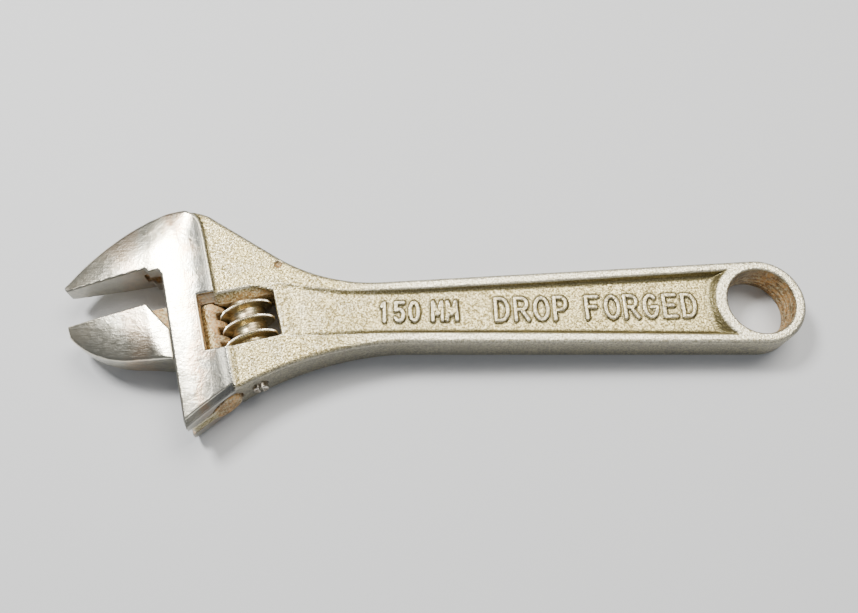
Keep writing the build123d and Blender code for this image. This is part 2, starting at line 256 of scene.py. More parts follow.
def body_height(x, y):
    """Half the forging's thickness at a place in plan, before the panel is sunk."""
    along, drop = to_head(x, y)
    jaw = np.interp(along, *JAW_PROFILE)
    # The fixed jaw's back falls away towards its outline.
    back = line_distance(x, y, [NOSE, FLANK_BACK, CROWN_START, (-118, 25.5)])
    fall = np.clip(1 - back / BACK_FALL_WIDTH, 0, 1) ** 2 * (1 - ramp(along, 24, 29))
    jaw = jaw - BACK_FALL * fall
    step = np.interp(drop, *PAD_STEP)
    shoulder = np.interp(along, *SHOULDER_PROFILE)
    length = 0.75 + 0.75 * ramp(drop, 12, 18)
    return mix(jaw, shoulder, ramp((along - step) / length, -0.1, 1.0))


def panel_place(x, y):
    """Place along the panel, turned with the head near the window so that its end runs beside it."""
    along, _ = to_head(x, y)
    return mix(along - HEAD_TO_PANEL, x, ramp(x, TURNED_PANEL_X, STRAIGHT_PANEL_X))


def panel_distance(x, y):
    """Signed distance to the recessed panel's upper rim, negative inside."""
    grown = np.clip((x - PANEL_NECK_X) / PANEL_LENGTH, 0, 2) ** 1.15
    half = PANEL_NECK_HALF_WIDTH + PANEL_WIDENING * grown
    # The upper rim flares out beside the window.
    upper = half + 1.5 * np.clip((-88.0 - x) / 11.4, 0, 2) ** 1.3
    return meet(np.maximum(y - upper, -half - y), PANEL_HEAD_END - panel_place(x, y), 0.3)


# ---------------------------------------------------------------- raised lettering, generic

def bow(cx, cy, rx, ry, start, end, steps=8):
    """Points on part of an ellipse, between two angles in degrees."""
    turns = [math.radians(start + (end - start) * i / steps) for i in range(steps + 1)]
    return [(cx + rx * math.cos(t), cy + ry * math.sin(t)) for t in turns]


STROKES = {
    "1": [[(0.15, 0.78), (0.4, 1), (0.4, 0)]],
    "5": [[(0.9, 1), (0.15, 1), (0.1, 0.58)] + bow(0.42, 0.32, 0.45, 0.32, 110, -150)],
    "0": [bow(0.5, 0.5, 0.42, 0.5, 0, 360, 16)],
    "M": [[(0, 0), (0.06, 1), (0.5, 0.3), (0.94, 1), (1, 0)]],
    "D": [[(0.05, 0), (0.05, 1), (0.4, 1)] + bow(0.4, 0.5, 0.5, 0.5, 90, -90)[1:] + [(0.05, 0)]],
    "R": [[(0.05, 0), (0.05, 1), (0.5, 1)] + bow(0.5, 0.74, 0.36, 0.26, 90, -90)[1:] + [(0.05, 0.48)],
          [(0.45, 0.48), (0.92, 0)]],
    "O": [bow(0.5, 0.5, 0.46, 0.5, 0, 360, 16)],
    "P": [[(0.05, 0), (0.05, 1), (0.5, 1)] + bow(0.5, 0.72, 0.36, 0.28, 90, -90)[1:] + [(0.05, 0.44)]],
    "F": [[(0.88, 1), (0.08, 1), (0.08, 0)], [(0.08, 0.52), (0.72, 0.52)]],
    "G": [bow(0.5, 0.5, 0.45, 0.5, 50, 345, 14) + [(0.94, 0.46), (0.6, 0.46)]],
    "E": [[(0.88, 1), (0.08, 1), (0.08, 0), (0.88, 0)], [(0.08, 0.52), (0.74, 0.52)]],
}


def lettering(words, left, base, width, height, pitch):
    """Stroke runs for one line of plain condensed capitals."""
    runs = []
    place = left
    for letter in words:
        if letter == " ":
            place += pitch * 0.62
            continue
        for run in STROKES[letter]:
            runs.append([(place + u * width, base + v * height) for u, v in run])
        place += pitch
    return runs


LETTERS = (
    lettering("150 MM", left=-80.6, base=-2.1, width=2.05, height=4.1, pitch=3.0)
    + lettering("DROP FORGED", left=-56.6, base=-2.5, width=3.0, height=4.9, pitch=4.15)
)


def letter_relief(x, y):
    """Height of the raised letters above the panel's floor."""
    nearest = np.full(np.broadcast(x, y).shape, FAR)
    for run in LETTERS:
        nearest = np.minimum(nearest, line_distance(x, y, run))
    return LETTER_HEIGHT * (1 - ramp(nearest, 0.22, 0.72))


# ---------------------------------------------------------------- the forging

def window_field(along, drop, height):
    """The knurl's window with its sloping upper lip and cut corner, negative inside."""
    lip = WINDOW_TOP - 1.12 * np.clip(height - 2.8, 0, 2.1)
    corner = (drop - 9.3) * 0.89 - (along - 38.2) * 0.45
    top = np.maximum(lip - drop, np.where(along > 37, -corner, -9.0))
    ends = np.maximum(WINDOW_LEFT - along, along - WINDOW_RIGHT)
    return meet(ends, np.maximum(top, drop - WINDOW_BOTTOM), WINDOW_CORNER)


def rack_bore_field(along, drop, z):
    """Round bore for the rack shank and the slot for the jaw's web, negative inside."""
    bore = np.hypot(along - RACK_AXIS, z) - RACK_RADIUS - BORE_CLEARANCE
    slot = meet(np.abs(z) - SLOT_HALF_WIDTH, np.maximum(SLOT_START - along, along - RACK_AXIS), 0.1)
    return np.maximum(join(bore, slot, 0.1), BORE_TOP - drop)


def hole_radius(z):
    """The hang hole's wall, with the ridges left by punching from both faces."""
    depth = np.abs(z)
    ridges = 0.42 * np.exp(-((depth - 0.75) / 0.5) ** 2) + 0.26 * np.exp(-((depth - 2.3) / 0.38) ** 2)
    return HOLE_RADIUS + 0.12 - ridges + 0.14 * ramp(depth, 3.0, 4.1)


def bevel_field(x, y, height, top, along):
    """Ground bevel along the head's lower edge, up to the end of the raised pad."""
    foot_a, foot_b = from_head(FRONT, FOOT_DROP), FOOT_END
    length = math.dist(foot_a, foot_b)
    nx, ny = (foot_b[1] - foot_a[1]) / length, -(foot_b[0] - foot_a[0]) / length
    beyond = (x - foot_a[0]) * nx + (y - foot_a[1]) * ny
    ended = 150.0 * ramp(along, 30.9, 33.0)
    return (beyond + height - top + BEVEL_REACH) * BEVEL_SCALE - ended


def panel_field(x, y, z):
    """Recessed panel of the face that z lies on, with its lettering and the hang hole's boss."""
    side = np.where(z >= 0, 1.0, -1.0)
    place = panel_place(x, y)
    # Faint forging waves where the floor rises to the head.
    wave = 0.05 * np.sin((place + 101.5) * 1.6)
    wave = wave * ramp(place, -101.5, -100) * (1 - ramp(place, -97, -93))
    floor = np.interp(place, *PANEL_FLOOR) + wave + letter_relief(x, y * side)
    depth = HANDLE_Z - np.abs(z)
    wall = (panel_distance(x, y) + 0.5 * depth) * 0.89
    boss = (BOSS_RADIUS + depth - np.hypot(x, y)) * 0.71
    return meet(np.maximum(wall, boss), floor - np.abs(z), PANEL_CORNER)


def body_field(x, y, z):
    """The whole forging, negative inside the metal."""
    along, drop = to_head(x, y)
    height = np.abs(z)
    outline = outline_distance(x, y, BODY_OUTLINE)
    top = body_height(x, y)
    # The edges are crisp at the jaw face and in the throat, and rounder all round the rest.
    from_throat = ramp(line_distance(x, y, THROAT), 0.4, 2.6)
    jaw_back = 1 - ramp(along, 22, 32)
    radius = mix(CRISP_EDGE, mix(HANDLE_EDGE, JAW_BACK_EDGE, jaw_back), from_throat)
    field = meet(outline, height - top, radius)
    field = meet(field, bevel_field(x, y, height, top, along), BEVEL_EDGE)
    field = cut(field, panel_field(x, y, z), PANEL_EDGE)
    hole = np.hypot(x, y) - hole_radius(z)
    field = cut(field, hole, HOLE_EDGE)
    field = cut(field, window_field(along, drop, height), WINDOW_EDGE)
    field = cut(field, rack_bore_field(along, drop, z), BORE_EDGE)
    pin = np.maximum(np.hypot(along - KNURL_AXIS, z) - PIN_BORE_RADIUS, PIN_BORE_TOP - drop)
    field = cut(field, pin, PIN_BORE_EDGE)
    dimple = np.sqrt((x - DIMPLE_X) ** 2 + (y - DIMPLE_Y) ** 2 + (z - DIMPLE_Z) ** 2) - DIMPLE_RADIUS
    return cut(field, dimple, DIMPLE_EDGE)


# ---------------------------------------------------------------- the movable jaw

BACK = FRONT - 0.08
NEAR_TIP, LOW_TIP = (-0.4, GAP), (-0.4, 10.4)
RELIEF_START, RELIEF_END = (16.3, GAP), (BACK, GAP + 6.6)
BELLY_START, BELLY_MIDDLE = (12.6, 19.3), (5.6, 16.6)
JAW_OUTLINE = (
    [NEAR_TIP, RELIEF_START, RELIEF_END, (BACK, HEEL_DROP), BELLY_START]
    + arc(BELLY_START, BELLY_MIDDLE, LOW_TIP, 30)[1:]
    + [LOW_TIP]
)
BLOCK_PROFILE = soft_profile([-6, 16.6, 21.3], [1.82, 4.74, 4.9], 0.35)


def shank_end(along, drop):
    """Signed distance beyond the shank's slanted lower end."""
    slope = (SHANK_END_BACK - SHANK_END_FRONT) / (RACK_TIP - FRONT)
    return (drop - SHANK_END_FRONT - slope * (along - FRONT)) / math.hypot(1, slope)


def rack_gaps(along, drop, z):
    """The spaces between the rack's teeth, slanted like the worm's thread, negative inside."""
    centre = CREST_DROP + PITCH / 4 - z * LEAD_SLOPE
    half_gap = 0.74 + (along - RACK_ROOT) * 0.19
    offset = np.abs((drop - centre + PITCH / 2) % PITCH - PITCH / 2)
    return np.maximum(offset - half_gap, np.maximum(RACK_ROOT - 0.02 - along, drop - LAST_GAP_END))


def jaw_field(along, drop, z):
    """Jaw block, web and rack shank, negative inside the metal."""
    height = np.abs(z)
    outline = outline_distance(along, drop, JAW_OUTLINE)
    top = np.interp(along, *BLOCK_PROFILE)
    back = line_distance(along, drop, [LOW_TIP, BELLY_MIDDLE, BELLY_START, (20, 22)])
    top = top - 0.6 * np.clip(1 - back / 7.0, 0, 1) ** 2 * (1 - ramp(along, 15, 19))
    face = line_distance(along, drop, JAW_OUTLINE[:4])
    block = meet(outline, height - top, mix(0.25, 0.6, ramp(face, 0.3, 2.5)))
    # The web ends inside the heel of the block, and runs the whole way down inside the head.
    heel = drop - 19.1 - 0.33 * (along - WEB_START)
    web = np.maximum(WEB_START - along, along - RACK_AXIS)
    web = np.maximum(web, np.maximum(SHANK_TOP - drop, np.minimum(20.95 - along, heel)))
    web = meet(web, height - WEB_HALF_THICKNESS, 0.15)
    shank = np.maximum(np.hypot(along - RACK_AXIS, z) - RACK_RADIUS + 0.03, SHANK_TOP - drop)
    shank = meet(shank, along - RACK_TIP + 0.03, 0.12)
    shank = cut(shank, rack_gaps(along, drop, z), 0.3)
    inner = join(web, shank, 0.15)
    inner = meet(inner, shank_end(along, drop) + 0.02, 0.3)
    return join(block, inner, 0.3)


# ---------------------------------------------------------------- the pin

def pin_field(along, drop, z):
    """Plain pin with a screwdriver slot across its outer end, negative inside."""
    radius = np.hypot(along - KNURL_AXIS, z)
    rod = meet(radius - PIN_RADIUS, np.maximum(PIN_TOP - drop, drop - PIN_END), 0.3)
    slot = np.maximum(np.abs(along - KNURL_AXIS) - SCREW_SLOT_HALF_WIDTH, SCREW_SLOT_START - drop)
    return cut(rod, slot, 0.12)


# ---------------------------------------------------------------- meshing a field

def edge_ends(part, axis):
    """Values at the two ends of every grid edge that runs along an axis."""
    last = part.shape[axis] - 1
    return np.take(part, range(last), axis), np.take(part, range(1, last + 1), axis)


def surface_points(values, grid):
    """One vertex in each grid cell that the surface crosses, and the vertex's number in each cell."""
    count = np.zeros([n - 1 for n in values.shape], np.float32)
    total = np.zeros((3, *count.shape), np.float32)
    for axis in range(3):
        low, high = edge_ends(values, axis)
        crosses = (low < 0) != (high < 0)
        share = np.where(crosses, low / np.where(crosses, low - high, 1), 0)
        where = []
        for part in grid:
            start, end = edge_ends(np.broadcast_to(part, values.shape), axis)
            where.append(start + share * (end - start))
        first, second = [a for a in range(3) if a != axis]
        for i in (0, 1):
            for j in (0, 1):
                pick = [slice(None)] * 3
                pick[first] = slice(i, i + count.shape[first])
                pick[second] = slice(j, j + count.shape[second])
                mask = crosses[tuple(pick)]
                count += mask
                for a in range(3):
                    total[a] += np.where(mask, where[a][tuple(pick)], 0)
    used = count > 0
    index = np.full(count.shape, -1, np.int64)
    index[used] = np.arange(int(used.sum()))
    points = np.stack([total[a][used] / count[used] for a in range(3)], 1).astype(float)
    return points, index


def surface_quads(values, index):
    """A quad for each grid edge that the surface crosses, joining the four cells round the edge."""
    faces = []
    for axis in range(3):
        low, high = edge_ends(values, axis)
        crosses = (low < 0) != (high < 0)
        first, second = [a for a in range(3) if a != axis]
        inner = [slice(None)] * 3
        inner[first] = slice(1, -1)
        inner[second] = slice(1, -1)
        inner = tuple(inner)
        at = np.argwhere(crosses[inner])
        forward = (low < 0)[inner][crosses[inner]]
        at[:, first] += 1
        at[:, second] += 1
        ring = []
        for step_a, step_b in ((0, 0), (-1, 0), (-1, -1), (0, -1)):
            cell = at.copy()
            cell[:, first] += step_a
            cell[:, second] += step_b
            ring.append(index[tuple(cell.T)])
        quads = np.stack(ring, 1)
        # Round the middle axis, the same order of cells turns the other way.
        if axis == 1:
            forward = ~forward
        quads[~forward] = quads[~forward][:, ::-1]
        faces.append(quads)
    return np.concatenate(faces)


def gradient(field, points, reach):
    """A field's slope at each point, and how sharply it bends there."""
    slopes = []
    spread = -6 * field(*points.T)
    for axis in range(3):
        move = np.zeros(3)
        move[axis] = reach
        ahead, behind = field(*(points + move).T), field(*(points - move).T)
        slopes.append((ahead - behind) / (2 * reach))
        spread = spread + ahead + behind
    return np.stack(slopes, 1), spread / reach ** 2


def mesh_of(name, points, faces, place, normals=None):
    """Mesh object in metres from points in a piece's own millimetre frame."""
    world = place(points) * MM
    a, b, c = world[faces[:, 0]], world[faces[:, 1]], world[faces[:, 2]]
    if np.einsum("ij,ij->i", np.cross(a, b), c).sum() < 0:
        faces = faces[:, ::-1]
    mesh = bpy.data.meshes.new(name)
    mesh.from_pydata(world.tolist(), [], faces.tolist())
    mesh.polygons.foreach_set("use_smooth", [True] * len(mesh.polygons))
    if normals is not None:
        mesh.normals_split_custom_set_from_vertices(normals.tolist())
    mesh.update()
    thing = bpy.data.objects.new(name, mesh)
    bpy.context.scene.collection.objects.link(thing)
    return thing


def strip_faces(count, around, closed):
    """Quads between rings of points, the last ring joined to the first where closed."""
    i, j = np.meshgrid(np.arange(count if closed else count - 1), np.arange(around), indexing="ij")
    i, j = i.ravel(), j.ravel()
    ni, nj = (i + 1) % count, (j + 1) % around
    return np.stack([i * around + j, ni * around + j, ni * around + nj, i * around + nj], 1)


def world_place(points):
    """For pieces drawn in the wrench's own frame."""
    return points


def head_place(points):
    """For pieces drawn in the head's frame."""
    x, y = from_head(points[:, 0], points[:, 1])
    return np.stack([x, y, points[:, 2]], 1)


def steps_between(low, high, size):
    """Even places from low to high, about one size apart."""
    return np.linspace(low, high, int(round((high - low) / size)) + 1)


def straight_grid(*axes):
    """Grid whose rows follow the head's own frame."""
    return axes[0][:, None, None], axes[1][None, :, None], axes[2][None, None, :]


def bent_grid(axes, bend_start, bend_end):
    """Grid whose rows follow the handle, then turn with the head, so that edges lie along them."""
    rows, across, heights = axes
    turn = TURN * (1 - ramp(rows, bend_start, bend_end))
    steps = np.diff(rows)
    middle = (turn[1:] + turn[:-1]) / 2
    centre_x = np.concatenate([[0], np.cumsum(steps * np.cos(middle))])
    centre_y = np.concatenate([[0], np.cumsum(steps * np.sin(middle))])
    centre_x += rows[-1] - centre_x[-1]
    centre_y -= centre_y[-1]
    x = centre_x[:, None] - across[None, :] * np.sin(turn)[:, None]
    y = centre_y[:, None] + across[None, :] * np.cos(turn)[:, None]
    return x[:, :, None], y[:, :, None], heights[None, None, :]


def field_object(name, field, grid, size, place):
    """Meshes a field, pulls each vertex onto the true surface, and keeps how sharply it bends."""
    values = field(*grid)
    points, index = surface_points(values, grid)
    faces = surface_quads(values, index)
    for _ in range(3):
        slope, _ = gradient(field, points, 0.02)
        square = np.maximum((slope ** 2).sum(1), 0.25)
        move = -slope * (field(*points.T) / square)[:, None]
        limit = np.maximum(np.linalg.norm(move, axis=1) / (0.5 * size), 1)
        points = points + move / limit[:, None]
    slope, _ = gradient(field, points, 0.06)
    _, bend = gradient(field, points, 0.3)
    slope = slope / np.maximum(np.linalg.norm(slope, axis=1), 1e-6)[:, None]
    normals = place(points + slope) - place(points)
    thing = mesh_of(name, points, faces, place, normals)
    keep(thing, "bend", np.clip(bend, -4, 4))
    return thing, points


def keep(thing, name, values):
    """Stores one number for each vertex, for the materials to read."""
    layer = thing.data.attributes.new(name, "FLOAT", "POINT")
    layer.data.foreach_set("value", np.asarray(values, np.float32))


# ---------------------------------------------------------------- build the pieces

THROAT_STAIN = [(16.4, 0.3), (18.6, 1.0), (20.2, 2.6), (20.2, 5.5)]
RELIEF_STAIN = [(16.6, 8.6), (BACK, 14.6)]
END_CHAMFER = 0.15


def body_grid():
    """Cells over the whole forging, finer where the letters are."""
    rows = np.concatenate([
        steps_between(-150.6, -82.0, BODY_CELL)[:-1],
        steps_between(-82.0, -11.2, LETTER_CELL)[:-1],
        steps_between(-11.2, 10.2, BODY_CELL),
    ])
    across = np.concatenate([
        steps_between(-22.0, -4.4, BODY_CELL)[:-1],
        steps_between(-4.4, 4.4, LETTER_CELL)[:-1],
        steps_between(4.4, 33.0, BODY_CELL),
    ])
    return bent_grid((rows, across, steps_between(-6.1, 6.1, BODY_CELL)), -98.0, -84.0)


def rim_share(x, y, height):
    """The panel's rails and the hang hole's boss, rubbed bright and given a painted highlight."""
    rails = ramp(panel_distance(x, y), -0.1, 0.35) * ramp(height, 3.6, 4.0) * ramp(x, -92, -70)
    boss = ramp(9.7 - np.hypot(x, y), -0.1, 0.3) * ramp(height, 3.7, 4.0) * ramp(x, -12, -7)
    return np.maximum(rails, boss)


def hole_share(x, y, height):
    """The hang hole's wall between the two faces."""
    return ramp(np.hypot(x, y), HOLE_RADIUS + 0.5, HOLE_RADIUS + 0.3) * ramp(height, 4.0, 3.5)


def rust_share(x, y, z):
    """Rust in the window, the rack bore, the throat, the dimple and the hang hole."""
    along, drop = to_head(x, y)
    height = np.abs(z)
    inner = np.minimum(window_field(along, drop, height), rack_bore_field(along, drop, z))
    sunk = ramp(body_height(x, y) - height, 0.25, 1.0)
    pockets = ramp(inner, 0.35, 0.05) * sunk * mix(1.0, 0.6, ramp(along, 26.0, 30.0))
    throat = ramp(line_distance(along, drop, THROAT_STAIN), 2.6, 0.3) * ramp(height, 5.0, 3.2)
    dimple = ramp(np.hypot(x - DIMPLE_X, y - DIMPLE_Y), 1.0, 0.5) * ramp(z, 3.5, 4.2)
    hole = mix(0.25, 0.95, ramp(x, -3.0, 4.0)) * hole_share(x, y, height)
    return np.maximum.reduce([pockets, hole, 0.6 * throat, dimple])


def side_shade_share(x, y, height):
    """The forging's outer sides, and the side of the hang hole towards the head, where shade is painted."""
    outer = ramp(-outline_distance(x, y, BODY_OUTLINE), 0.5, 0.15)
    return np.maximum(outer, hole_share(x, y, height) * ramp(x, 4.0, -3.0))


def wall_shade_share(x, y, z):
    """The sloping walls round the panel, without the letters, where shade is painted."""
    height = np.abs(z)
    lettered = letter_relief(x, y * np.where(z >= 0, 1.0, -1.0))
    above = height - np.interp(panel_place(x, y), *PANEL_FLOOR) - 1.4 * lettered
    below = HANDLE_Z - height
    inside = ramp(panel_distance(x, y), 0.1, -0.15)
    return ramp(above, 0.05, 0.4) * ramp(below, 0.02, 0.25) * inside * ramp(x, -97, -84)


def build_body():
    thing, points = field_object("wrench_body_forging", body_field, body_grid(), BODY_CELL, world_place)
    x, y, z = points.T
    along, drop = to_head(x, y)
    height = np.abs(z)
    keep(thing, "along", along)
    keep(thing, "polish", 1 - ramp(along - np.interp(drop, *PAD_STEP), -0.3, 0.5))
    keep(thing, "rim", rim_share(x, y, height))
    keep(thing, "rust", rust_share(x, y, z))
    keep(thing, "side", side_shade_share(x, y, height))
    keep(thing, "wall", wall_shade_share(x, y, z))
    return thing


def jaw_rust_share(along, drop, z, inner):
    """Rust on the web, on the rack's toothed side, along the relief and thinly on the jaw's face."""
    near_end = ramp(shank_end(along, drop), -4.5, -3.0)
    clean = near_end * (1 - ramp(along, 25.8, 26.4))
    toothed = mix(0.22, 1.0, np.maximum(ramp(along, 27.2, 29.0), near_end))
    toothed = np.maximum(toothed, 0.8 * ramp(along, 21.0, 19.5))
    relief = ramp(line_distance(along, drop, RELIEF_STAIN), 0.9, 0.2) * ramp(np.abs(z), 4.2, 3.0)
    face = ramp(drop, GAP + 0.35, GAP + 0.05) * (1 - inner)
    return np.maximum.reduce([inner * (1 - clean) * toothed, relief * 0.8, face * 0.25])


def build_jaw():
    grid = straight_grid(
        steps_between(-1.0, 34.0, JAW_CELL),
        steps_between(7.2, 37.2, JAW_CELL),
        steps_between(-5.4, 5.4, JAW_CELL),
    )
    thing, points = field_object("movable_jaw_forging", jaw_field, grid, JAW_CELL, head_place)
    along, drop, z = points.T
    beside = ramp(outline_distance(along, drop, JAW_OUTLINE), 0.05, 0.3)
    inner = np.maximum(ramp(along, 19.6, 21.0), beside)
    nowhere = np.zeros(len(points))
    keep(thing, "along", along)
    keep(thing, "polish", 1 - inner)
    keep(thing, "rim", nowhere)
    keep(thing, "rust", jaw_rust_share(along, drop, z, inner))
    keep(thing, "side", nowhere)
    keep(thing, "wall", nowhere)
    return thing


def knurl_radius(turn, drop):
    """Worm surface: wide hollow between crests, and a crest rolled into 76 small beads a turn."""
    centre = CREST_DROP + PITCH * turn / (2 * math.pi)
    offset = np.abs((drop - centre + PITCH / 2) % PITCH - PITCH / 2)
    flank = ramp(offset, 0.17, 0.8)
    hollow = 3.74 + 0.1 * ramp(offset, 1.7, 0.9)
    radius = mix(5.59, hollow, flank)
    beads = 0.5 - 0.5 * np.cos(turn * 76)
    return radius - 0.24 * beads * ramp(offset, 0.36, 0.2)


def knurl_rings(turns):
    """Rings round the worm as (radius, drop, crest share), out over its top, down and back inside."""
    drops = steps_between(KNURL_TOP + 0.02, KNURL_BOTTOM - 0.02, KNURL_ROW)
    top, bottom = drops[0], drops[-1]
    top_edge = knurl_radius(turns, top) - END_CHAMFER
    bottom_edge = knurl_radius(turns, bottom) - END_CHAMFER
    rings = [(mix(POCKET_RADIUS, top_edge, share), top, 0.0) for share in np.linspace(0, 1, 6)[:-1]]
    for drop in drops:
        to_end = min(drop - top, bottom - drop)
        radius = knurl_radius(turns, drop)
        chamfer = END_CHAMFER * (1 - min(to_end / 0.2, 1.0))
        rings.append((radius - chamfer, drop, ramp(radius, 5.38, 5.55)))
    rings += [(mix(1.7, bottom_edge, share), bottom, 0.0) for share in np.linspace(1, 0, 6)[1:]]
    pocket_floor = top + POCKET_DEPTH
    rings += [(KNURL_BORE_RADIUS, drop, 0.0) for drop in np.linspace(bottom, pocket_floor, 8)[1:]]
    rings += [(2.3, pocket_floor, 0.0), (2.88, pocket_floor, 0.0), (POCKET_RADIUS, top + 2.0, 0.0)]
    return rings


def build_knurl():
    turns = np.arange(KNURL_AROUND) * 2 * math.pi / KNURL_AROUND
    rings = knurl_rings(turns)
    level = np.ones(KNURL_AROUND)
    points = np.concatenate([
        np.stack([KNURL_AXIS - radius * np.sin(turns), drop * level, radius * np.cos(turns)], 1)
        for radius, drop, _ in rings])
    faces = strip_faces(len(rings), KNURL_AROUND, closed=True)
    thing = mesh_of("knurl_worm", points, faces, head_place)
    keep(thing, "crest", np.concatenate([crest * level for _, _, crest in rings]))
    thing.data.set_sharp_from_angle(angle=math.radians(48))
    return thing


def build_pin():
    grid = straight_grid(
        steps_between(33.6, 37.4, PIN_CELL),
        steps_between(5.0, 31.0, PIN_ROW),
        steps_between(-1.9, 1.9, PIN_CELL),
    )
    return field_object("knurl_pin_turned", pin_field, grid, PIN_ROW, head_place)[0]


def build_spring():
    """Coil round the pin, in the knurl's pocket, with its end turns ground flat."""
    low = KNURL_TOP + POCKET_DEPTH - 0.05 - SPRING_WIRE
    high = KNURL_TOP + 0.05 + SPRING_WIRE
    around, rings = 12, 240
    share = np.linspace(0, 1, rings)
    turn = share * SPRING_COILS * 2 * math.pi
    drop = np.clip(mix(low, high, ramp(share, -0.08, 1.08)), high, low)
    tube = np.arange(around) * 2 * math.pi / around
    radius = SPRING_RADIUS + SPRING_WIRE * np.cos(tube)[None, :]
    points = np.stack([
        KNURL_AXIS - radius * np.sin(turn)[:, None],
        drop[:, None] + SPRING_WIRE * np.sin(tube)[None, :],
        radius * np.cos(turn)[:, None],
    ], 2).reshape(-1, 3)
    return mesh_of("knurl_spring_coil", points, strip_faces(rings, around, closed=False), head_place)


# ---------------------------------------------------------------- materials

class Nodes:
    """Short way to write a material's node tree."""

    def __init__(self, name):
        self.material = bpy.data.materials.new(name)
        self.material.use_nodes = True
        self.tree = self.material.node_tree
        self.tree.nodes.clear()
        self.output = self.tree.nodes.new("ShaderNodeOutputMaterial")
        self.shader = self.tree.nodes.new("ShaderNodeBsdfPrincipled")
        self.tree.links.new(self.shader.outputs[0], self.output.inputs["Surface"])
        self.place = self.tree.nodes.new("ShaderNodeTexCoord").outputs["Object"]

    def put(self, socket, value):
        """Links another node's output, or sets a plain value."""
        if isinstance(value, bpy.types.NodeSocket):
            self.tree.links.new(value, socket)
        else:
            socket.default_value = value

    def combine(self, kind, a, b, clamp):
        node = self.tree.nodes.new("ShaderNodeMath")
        node.operation = kind
        node.use_clamp = clamp
        self.put(node.inputs[0], a)
        self.put(node.inputs[1], b)
        return node.outputs[0]

    def times(self, a, b, clamp=False):
        return self.combine("MULTIPLY", a, b, clamp)

    def plus(self, a, b):
        return self.combine("ADD", a, b, False)

    def attribute(self, name):
        node = self.tree.nodes.new("ShaderNodeAttribute")
        node.attribute_name = name
        return node.outputs["Fac"]

    def turned(self, angle, scale):
        """Object place turned about the Z axis and stretched, for marks that run one way."""
        node = self.tree.nodes.new("ShaderNodeMapping")
        node.inputs["Rotation"].default_value = (0, 0, -angle)
        node.inputs["Scale"].default_value = scale
        self.tree.links.new(self.place, node.inputs["Vector"])
        return node.outputs[0]

    def handle_place(self):
        """Place along the handle, in metres."""
        node = self.tree.nodes.new("ShaderNodeSeparateXYZ")
        self.tree.links.new(self.place, node.inputs[0])
        return node.outputs["X"]

    def noise(self, scale, detail, rough, vector=None):
        node = self.tree.nodes.new("ShaderNodeTexNoise")
        node.inputs["Scale"].default_value = scale
        node.inputs["Detail"].default_value = detail
        node.inputs["Roughness"].default_value = rough
        self.tree.links.new(vector or self.place, node.inputs["Vector"])
        return node.outputs["Fac"]

    def cells(self, scale):
        node = self.tree.nodes.new("ShaderNodeTexVoronoi")
        node.inputs["Scale"].default_value = scale
        self.tree.links.new(self.place, node.inputs["Vector"])
        return node.outputs["Distance"]

    def remap(self, value, low, high, to_low=0.0, to_high=1.0):
        """A smooth step from to_low, where value is low, to to_high, where it is high."""
        node = self.tree.nodes.new("ShaderNodeMapRange")
        node.interpolation_type = "SMOOTHSTEP"
        for slot, number in zip(("From Min", "From Max", "To Min", "To Max"), (low, high, to_low, to_high)):
            node.inputs[slot].default_value = number
        self.put(node.inputs["Value"], value)
        return node.outputs["Result"]

    def blend(self, share, a, b):
        """One colour where share is 0, the other where it is 1."""
        node = self.tree.nodes.new("ShaderNodeMix")
        node.data_type = "RGBA"
        self.put(node.inputs["Factor"], share)
        self.put(node.inputs[6], a)
        self.put(node.inputs[7], b)
        return node.outputs[2]

    def fade(self, share, a, b):
        """One number where share is 0, the other where it is 1."""
        node = self.tree.nodes.new("ShaderNodeMix")
        node.data_type = "FLOAT"
        self.put(node.inputs[0], share)
        self.put(node.inputs[2], a)
        self.put(node.inputs[3], b)
        return node.outputs[0]

    def bump(self, height, distance, strength, after=None):
        node = self.tree.nodes.new("ShaderNodeBump")
        node.inputs["Distance"].default_value = distance
        node.inputs["Strength"].default_value = strength
        self.put(node.inputs["Height"], height)
        if after is not None:
            self.tree.links.new(after, node.inputs["Normal"])
        return node.outputs[0]

    def finish(self, colour, metal, rough, normal=None):
        self.put(self.shader.inputs["Base Color"], colour)
        self.put(self.shader.inputs["Metallic"], metal)
        self.put(self.shader.inputs["Roughness"], rough)
        if normal is not None:
            self.put(self.shader.inputs["Normal"], normal)
        return self.material


def rgb(r, g, b):
    return (r, g, b, 1.0)


def forged_colour(n, grain):
    """Grained plate that drifts between a deeper and a paler tone, and pales towards the hang hole; the
    rails carry rubbed wear with a painted highlight, and the panel's walls painted shade.
    """
    broad = n.noise(90.0, 3.0, 0.6)
    patch = n.noise(260.0, 4.0, 0.65)
    deep = n.blend(n.remap(broad, 0.35, 0.65), rgb(0.61, 0.52, 0.26), rgb(0.73, 0.62, 0.32))
    pale = n.blend(n.remap(n.handle_place(), -0.105, -0.03), rgb(0.58, 0.52, 0.33), rgb(0.76, 0.66, 0.34))
    colour = n.blend(n.remap(patch, 0.35, 0.65), deep, pale)
    colour = n.blend(n.remap(grain, 0.42, 0.57), rgb(0.20, 0.16, 0.07), colour)
    colour = n.blend(n.remap(grain, 0.56, 0.72, 0.0, 0.8), colour, rgb(0.95, 0.90, 0.66))
    # Rails and boss: rubbed wear together with a painted highlight on their edges.
    rubbed_and_highlit = n.blend(n.remap(grain, 0.38, 0.56), rgb(0.50, 0.44, 0.27), rgb(0.97, 0.92, 0.74))
    colour = n.blend(n.times(n.attribute("rim"), 0.9), colour, rubbed_and_highlit)
    # Painted shade darkens the sloping walls round the panel.
    return n.blend(n.times(n.attribute("wall"), 0.8), colour, rgb(0.21, 0.18, 0.09))


